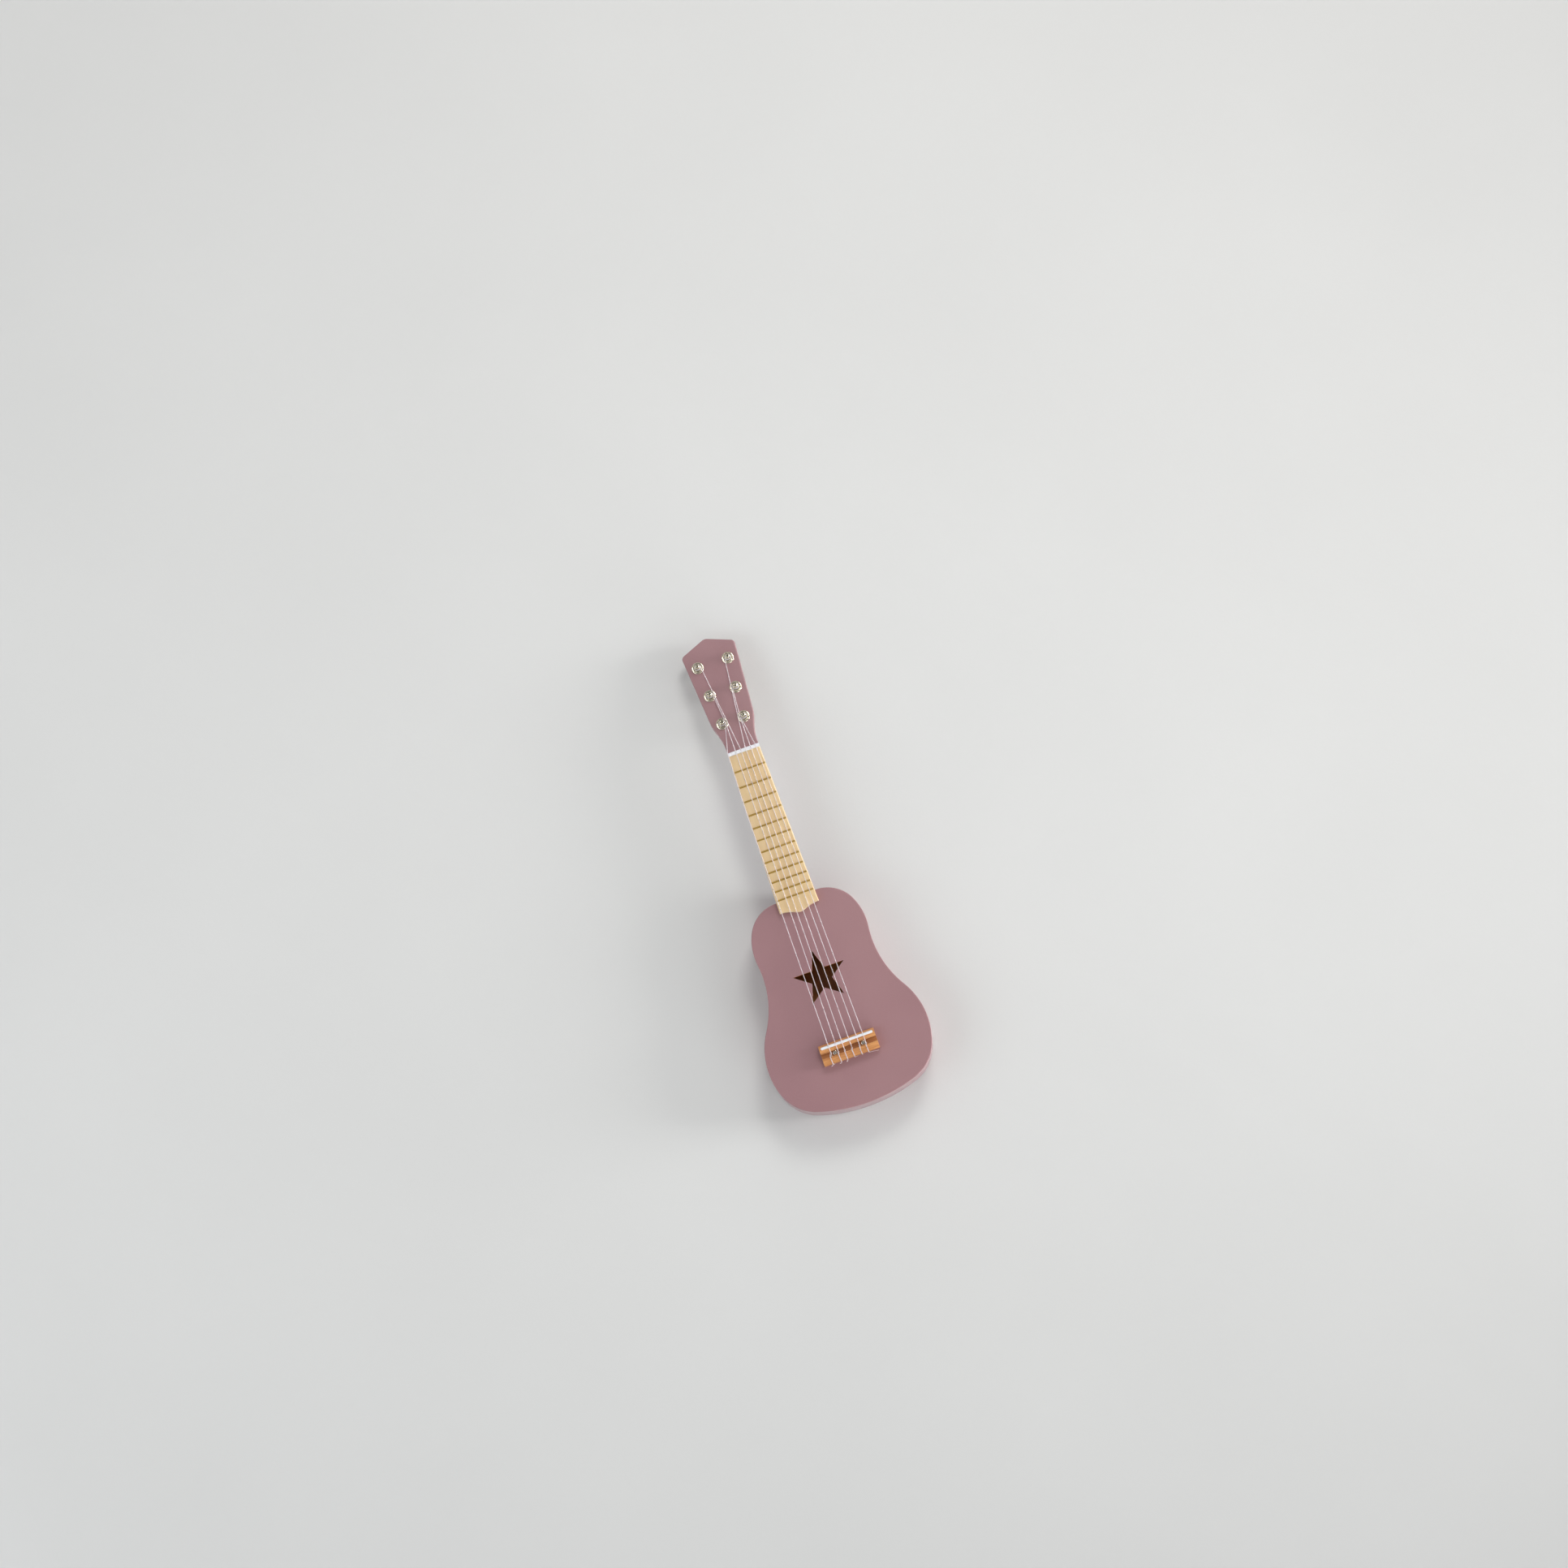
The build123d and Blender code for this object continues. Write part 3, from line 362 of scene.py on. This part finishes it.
def plastic(name, fresh, aged, roughness):
    """Moulded plastic: faint mottling, slightly rubbed edges."""
    recipe = Recipe(name)
    mottled = recipe.spread(recipe.noise(170, detail=3), 0.35, 0.65)
    tone = recipe.mix(recipe.math("MULTIPLY", mottled, 0.6), fresh, aged)
    edge = recipe.edge_wear_and_highlight(0.4 * MM)
    tone = recipe.mix(recipe.math("MULTIPLY", edge, 0.35), tone, colour(246, 247, 248))
    gloss = recipe.spread(recipe.noise(600, detail=3), 0.3, 0.7, roughness * 0.8, roughness * 1.3)
    recipe.set(Base_Color=tone, Roughness=gloss, IOR=1.5, Subsurface_Weight=0.08, Subsurface_Scale=0.001)
    recipe.relief(recipe.noise(900, detail=2), 0.015 * MM, edge_round=0.25 * MM)
    return recipe.material


def nylon(name):
    """Translucent white monofilament, a little cloudy along its length."""
    recipe = Recipe(name)
    cloudy = recipe.noise((300, 60, 300), detail=2)
    tone = recipe.mix(recipe.spread(cloudy, 0.35, 0.65), colour(250, 245, 249), colour(240, 234, 239))
    gloss = recipe.spread(cloudy, 0.3, 0.7, 0.22, 0.34)
    recipe.set(Base_Color=tone, Roughness=gloss, IOR=1.2, Transmission_Weight=0.5)
    recipe.set(Coat_Weight=0.4, Coat_Roughness=0.15, Coat_IOR=1.5)
    recipe.relief(recipe.noise(1500, detail=2), 0.002 * MM)
    return recipe.material


def give(node_names, material):
    for name in node_names:
        mesh = frame["nodes"][name].data
        mesh.materials.clear()
        mesh.materials.append(material)


give(["soundboard"], lilac_paint("paint_soundboard", unpainted_soundboard))
give(["back_plate"], lilac_paint("paint_back", lambda recipe: above(recipe, back_high.z - mask_margin)))
give(["rim"], lilac_paint("paint_rim", facing_inwards))
give(["neck"], lilac_paint("paint_neck"))
give(["linings", "neck_block", "tail_block", "braces", "bridge_plate"], raw_wood("raw_wood"))
give(["fingerboard"], maple("maple"))
give(["bridge"], bridge_wood("bridge_wood"))
fret_names = [name for name in frame["nodes"] if name.startswith("fret_")]
give(fret_names, metal("fret_brass", colour(188, 158, 88), colour(150, 120, 56), 0.5, 0.01 * MM, 0.15 * MM))
give(["nut", "saddle"], plastic("white_plastic", colour(240, 243, 248), colour(230, 234, 240), 0.24))
nickel = metal("nickel", colour(236, 232, 216), colour(204, 194, 166), 0.1, 0.0006 * MM, 0.2 * MM)
shafts = [name for name in frame["nodes"] if name.endswith("_shaft")]
give(["peg_bushings", "peg_washers", *shafts], nickel)
steel = metal("zinc_steel", colour(232, 228, 218), colour(168, 160, 142), 0.17, 0.002 * MM, 0.15 * MM)
peg_screws = [name for name in frame["nodes"] if name.endswith("_screw")]
give(["bridge_bolts", "bridge_nuts", "neck_screws", *peg_screws], steel)
buttons = [name for name in frame["nodes"] if name.endswith("_button")]
give(buttons, plastic("button_plastic", colour(236, 230, 218), colour(226, 216, 198), 0.28))

# ------------------------------------------------------------------ strings
string_material = nylon("nylon")
strand_sides = 3            # fineness round the strand
strand_steps = 5            # and along it, between two control points
strand_order = 3            # quadratic pieces, which stay close to the control points


def on_head(foot, across, along, height):
    """A point near a peg's foot: across and up the headstock's face, and above it."""
    return foot + face_across * across + face_up * along + peg_axis * height


def smooth_curve(name, lines, body):
    """One curve object made of round smooth lines, each a list of (point, thickness) pairs.

    A thickness is a share of the string's own radius.
    """
    curve = bpy.data.curves.new(name, "CURVE")
    curve.dimensions = "3D"
    curve.bevel_depth = string_radius
    curve.bevel_resolution = strand_sides
    curve.resolution_u = strand_steps
    curve.use_fill_caps = True
    for points in lines:
        spline = curve.splines.new("NURBS")
        spline.points.add(len(points) - 1)
        for control, (point, thickness) in zip(spline.points, points):
            control.co = (*point, 1.0)
            control.radius = thickness
        spline.order_u = strand_order
        spline.use_endpoint_u = True
    curve.materials.append(string_material)
    made = bpy.data.objects.new(name, curve)
    bpy.context.scene.collection.objects.link(made)
    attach(made, body)
    return made


# Each knot, string by string. Lean is how far the twisted pair sits to the side of the string, at the
# tie block's front and rear; reach is how far in front of the block the loop goes round the string.
knot_leans = ((-1.9, -1.6), (-0.6, -0.2), (-0.5, -0.2), (-0.7, -0.3), (-0.5, -0.7), (-0.7, -0.3))
loop_reaches = (4.6, 2.8, 2.6, 1.8, 2.1, 1.9)

# Loose ends, from the twist's end to the cut tip: side, distance behind the block's front, height.
tail_ends = (
    ((-1.7, 8.1, 8.3), (-2.0, 8.9, 7.6), (-2.8, 9.5, 7.0), (-3.7, 9.8, 6.6)),
    ((-0.1, 8.3, 8.2), (-0.3, 9.2, 7.5), (-1.2, 9.8, 6.9), (-2.4, 9.7, 6.5)),
    ((-0.2, 8.4, 8.2), (-0.4, 9.3, 7.5), (-1.1, 10.0, 6.8), (-2.0, 10.4, 6.3)),
    ((-0.3, 8.3, 8.0), (-0.1, 8.7, 6.9), (1.8, 8.4, 5.9), (4.8, 8.2, 5.2)),
    ((-0.7, 8.3, 8.0), (-0.7, 8.6, 7.2), (-0.6, 8.6, 6.4), (-0.4, 8.5, 5.6)),
    ((-0.3, 8.4, 8.0), (0.2, 8.8, 6.6), (3.4, 8.9, 4.6), (10.6, 9.7, 2.6)),
)
twist_length = 4.2 * MM
twist_points = 8
twist_radius = 0.36 * MM
knot_thickness = 0.88
loose_thickness = (1.0, 1.0, 1.0, 0.35, 0.7, 0.38)   # of the cut ends, beside the string's own


def tie_points(number):
    """The knotted end of a string, from its cut tip to where it leaves the hole's front, with thickness."""
    x = saddle_string_x[number]
    front_y = bridge_low.y + tie_block_depth
    front_lean, rear_lean = (lean * MM for lean in knot_leans[number])
    reach = loop_reaches[number]
    twist_height = tie_block_height + string_radius + twist_radius

    def place(side, behind, height):
        return Vector((x + side * MM, front_y - behind * MM, top_z + height * MM))

    def twisted(share, phase):
        """A point on one strand of the pair, from the block's front (share 0) to its rear (1)."""
        behind = share * tie_block_depth
        turned = phase + 2 * math.pi * behind / twist_length
        side = front_lean + (rear_lean - front_lean) * share + twist_radius * math.cos(turned)
        return Vector((x + side, front_y - behind, top_z + twist_height + twist_radius * math.sin(turned)))

    def string_height_at(behind):
        """Height of the string itself on its way from the hole up to the saddle."""
        run = front_y - behind * MM - hole_front_y
        return (tie_hole_height + (saddle_crown - tie_hole_height) * run / (saddle_y - hole_front_y)) / MM

    loose = [place(*end) for end in reversed(tail_ends[number])]
    points = [twisted(1 - step / twist_points, math.pi) for step in range(twist_points + 1)]
    lean = front_lean / MM
    # The loop round the string: side, share of its reach, height over the string's centre.
    for side, share, over in (
        (lean - 0.1, 0.3, 1.3),
        (-0.8, 0.75, 0.1),
        (0.1, 1.0, -0.85),
        (0.85, 0.9, 0.1),
        (0.2, 0.6, 0.95),
    ):
        points.append(place(side, -share * reach, string_height_at(-share * reach) + over))
    points += [twisted(step / twist_points, 0.0) for step in range(twist_points + 1)]
    # Down behind the block, and through its hole to the front.
    lean = rear_lean / MM
    points += [place(lean, 8.2, 8.3), place(lean / 2, 8.7, 7.0), place(0, 8.4, 5.7)]
    points += [place(0, 7.0, tie_hole_height / MM), place(0, 1.0, tie_hole_height / MM)]
    thin = [(point, loose_thickness[number]) for point in loose]
    return thin + [(point, knot_thickness) for point in points]


def bend(before, corner, after, reach):
    """Three control points that keep a bend within reach of its corner."""
    return [
        corner + (before - corner).normalized() * reach,
        corner,
        corner + (after - corner).normalized() * reach,
    ]


def peg_approach(number, start, height):
    """Where a string coming from start meets its post, and the angle of that place round the post."""
    foot = peg_feet[number]
    offset = start - foot
    across = offset.dot(face_across)
    along = offset.dot(face_up)
    gap = math.hypot(across, along)
    radius = post_radius + string_radius
    toward = math.atan2(along, across)
    angle = toward - peg_sides[number] * math.acos(radius / gap)
    place = on_head(foot, radius * math.cos(angle), radius * math.sin(angle), height)
    return place, angle


string_meets_winding = winding_floor + string_radius

hole_front_y = bridge_low.y + tie_block_depth + hole_exit

approach_angles = []
for number in range(6):
    side = peg_sides[number]
    x = saddle_string_x[number]
    hole_front = Vector((x, hole_front_y, top_z + tie_hole_height))
    crown = Vector((x, saddle_y, top_z + saddle_crown + string_radius))
    over_nut = Vector((nut_string_x[number], nut_high.y + nut_overhang, top_z + string_above_board))
    corners = [hole_front, crown, over_nut]
    reaches = [corner_reach] * 4
    if number == 0:
        slack = crown.lerp(over_nut, (nut_low.y - slack_turn - saddle_y) / (over_nut.y - saddle_y))
        corners.insert(2, Vector((slack_turn_x, slack.y, slack.z)))
        reaches[2] = slack_reach
    if peg_rows[number] == 1:
        first_foot = peg_feet[0 if side < 0 else 5]
        aside = -side * (post_radius + string_radius + moving_gap)
        corners.append(on_head(first_foot, aside, 0.0, post_bend_height))
    meeting, angle = peg_approach(number, corners[-1], string_meets_winding)
    approach_angles.append(angle)
    corners.append(meeting)
    points = tie_points(number)
    for before, corner, after, reach in zip([points[-1][0], *corners], corners, corners[1:], reaches):
        points += [(point, 1.0) for point in bend(before, corner, after, reach)]
    points.append((meeting - (meeting - corners[-2]).normalized() * strand_gap, 1.0))
    strand = smooth_curve(f"string_{number + 1}_strand", [points], "guitar")
    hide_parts(f"string_{number + 1}")

# Each winding starts where its string meets the post, climbs two turns and ends inside the post;
# the string's other end shows in the cross hole above it.
points_per_turn = 16
winding_tuck = 4            # last points, which sink into the post
tuck_depth = 2.2            # by this many string radii
turn_pitch = 2.06 * string_radius
last_rise = 0.15            # the last turn climbs by this share of the pitch
for number, angle in enumerate(approach_angles):
    foot = peg_feet[number]
    turning = -peg_sides[number]
    coil = []
    steps = winding_turns * points_per_turn
    top_turn = winding_turns - 1 + last_rise
    for step in range(steps + 1):
        sink = max(0, step - (steps - winding_tuck)) / winding_tuck
        radius = post_radius + string_radius * (1 - tuck_depth * sink)
        turned = angle + turning * 2 * math.pi * step / points_per_turn
        height = string_meets_winding + turn_pitch * min(step / points_per_turn, top_turn)
        coil.append((on_head(foot, radius * math.cos(turned), radius * math.sin(turned), height), 1.0))
    hole_places = (-1.05, -0.3, 0.4, 1.05)
    through = [(on_head(foot, 0.0, share * post_radius, string_hole_height), 1.0) for share in hole_places]
    winding = smooth_curve(f"string_{number + 1}_coil", [coil, through], f"tuner_{number + 1}")
    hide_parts(f"string_{number + 1}_winding")

# ------------------------------------------------------------------ floor, light and camera
floor_reach = 6.0
floor_mesh = bpy.data.meshes.new("floor")
floor_signs = ((-1, -1), (1, -1), (1, 1), (-1, 1))
floor_corners = [(x * floor_reach, y * floor_reach, cad_low.z) for x, y in floor_signs]
floor_mesh.from_pydata(floor_corners, [], [(0, 1, 2, 3)])
floor = bpy.data.objects.new("floor", floor_mesh)
bpy.context.scene.collection.objects.link(floor)
floor_recipe = Recipe("floor")
floor_tone = floor_recipe.mix(floor_recipe.noise(3, detail=2), colour(214, 216, 216), colour(220, 222, 222))
floor_recipe.set(Base_Color=floor_tone, Roughness=0.7)
floor_recipe.relief(floor_recipe.noise(400, detail=3), 0.05 * MM)
floor_mesh.materials.append(floor_recipe.material)


def area_light(name, place, size, power, tint, spread=180):
    """A square soft light aimed at the guitar's middle, its beam narrowed to spread degrees."""
    lamp = bpy.data.lights.new(name, "AREA")
    lamp.size = size
    lamp.energy = power
    lamp.color = tint
    lamp.spread = math.radians(spread)
    made = bpy.data.objects.new(name, lamp)
    made.location = place
    made.rotation_euler = (Vector((0, 0, top_z)) - made.location).to_track_quat("-Z", "Y").to_euler()
    bpy.context.scene.collection.objects.link(made)


area_light("low_right", Vector((3.4, -0.8, 0.8)), 1.2, 9.0, (1.0, 0.98, 0.97), spread=50)
area_light("low_front", Vector((0.9, -2.4, 0.55)), 1.6, 4.5, (0.98, 0.99, 1.0), spread=60)
area_light("high", Vector((1.2, 1.9, 2.3)), 1.2, 36.0, (1.0, 0.97, 0.94))
area_light("fill", Vector((-2.4, -0.3, 1.8)), 2.0, 25.0, (0.94, 0.97, 1.0))

world = bpy.data.worlds.new("studio")
world.use_nodes = True
bpy.context.scene.world = world
world_nodes = world.node_tree.nodes
background = world_nodes["Background"]
sky_place = world_nodes.new("ShaderNodeTexCoord")
sky_split = world_nodes.new("ShaderNodeSeparateXYZ")
sky_ramp = world_nodes.new("ShaderNodeValToRGB")
world.node_tree.links.new(sky_place.outputs["Generated"], sky_split.inputs[0])
world.node_tree.links.new(sky_split.outputs["Z"], sky_ramp.inputs[0])
world.node_tree.links.new(sky_ramp.outputs["Color"], background.inputs["Color"])
sky_ramp.color_ramp.elements[0].color = (0.28, 0.22, 0.17, 1)
sky_ramp.color_ramp.elements[1].color = (0.3, 0.28, 0.27, 1)
for height, tone in (
    (0.25, (0.8, 0.79, 0.77, 1)),
    (0.6, (1.0, 1.0, 1.0, 1)),
    (0.78, (0.16, 0.15, 0.14, 1)),
):
    sky_ramp.color_ramp.elements.new(height).color = tone
sky_strength = 0.79
background.inputs["Strength"].default_value = sky_strength

bpy.context.scene.view_settings.view_transform = "Standard"

camera_distance = 3.7786
camera_azimuth = math.radians(-1.8)
camera_elevation = math.radians(79.6)
camera_roll = math.radians(-17.8)
camera_aim = Vector((0.0287, 0.0835, top_z))

camera_data = bpy.data.cameras.new("camera")
camera_data.sensor_width = 36.0
camera_data.lens = 80.9
camera = bpy.data.objects.new("camera", camera_data)
back_x = math.sin(camera_azimuth) * math.cos(camera_elevation)
back_y = -math.cos(camera_azimuth) * math.cos(camera_elevation)
camera_back = Vector((back_x, back_y, math.sin(camera_elevation)))
upright = (-camera_back).to_track_quat("-Z", "Y").to_matrix().to_4x4()
rolled = Matrix.Rotation(camera_roll, 4, "Z")
camera.matrix_world = Matrix.Translation(camera_aim + camera_back * camera_distance) @ upright @ rolled
bpy.context.scene.collection.objects.link(camera)
bpy.context.scene.camera = camera

bpy.context.view_layer.update()
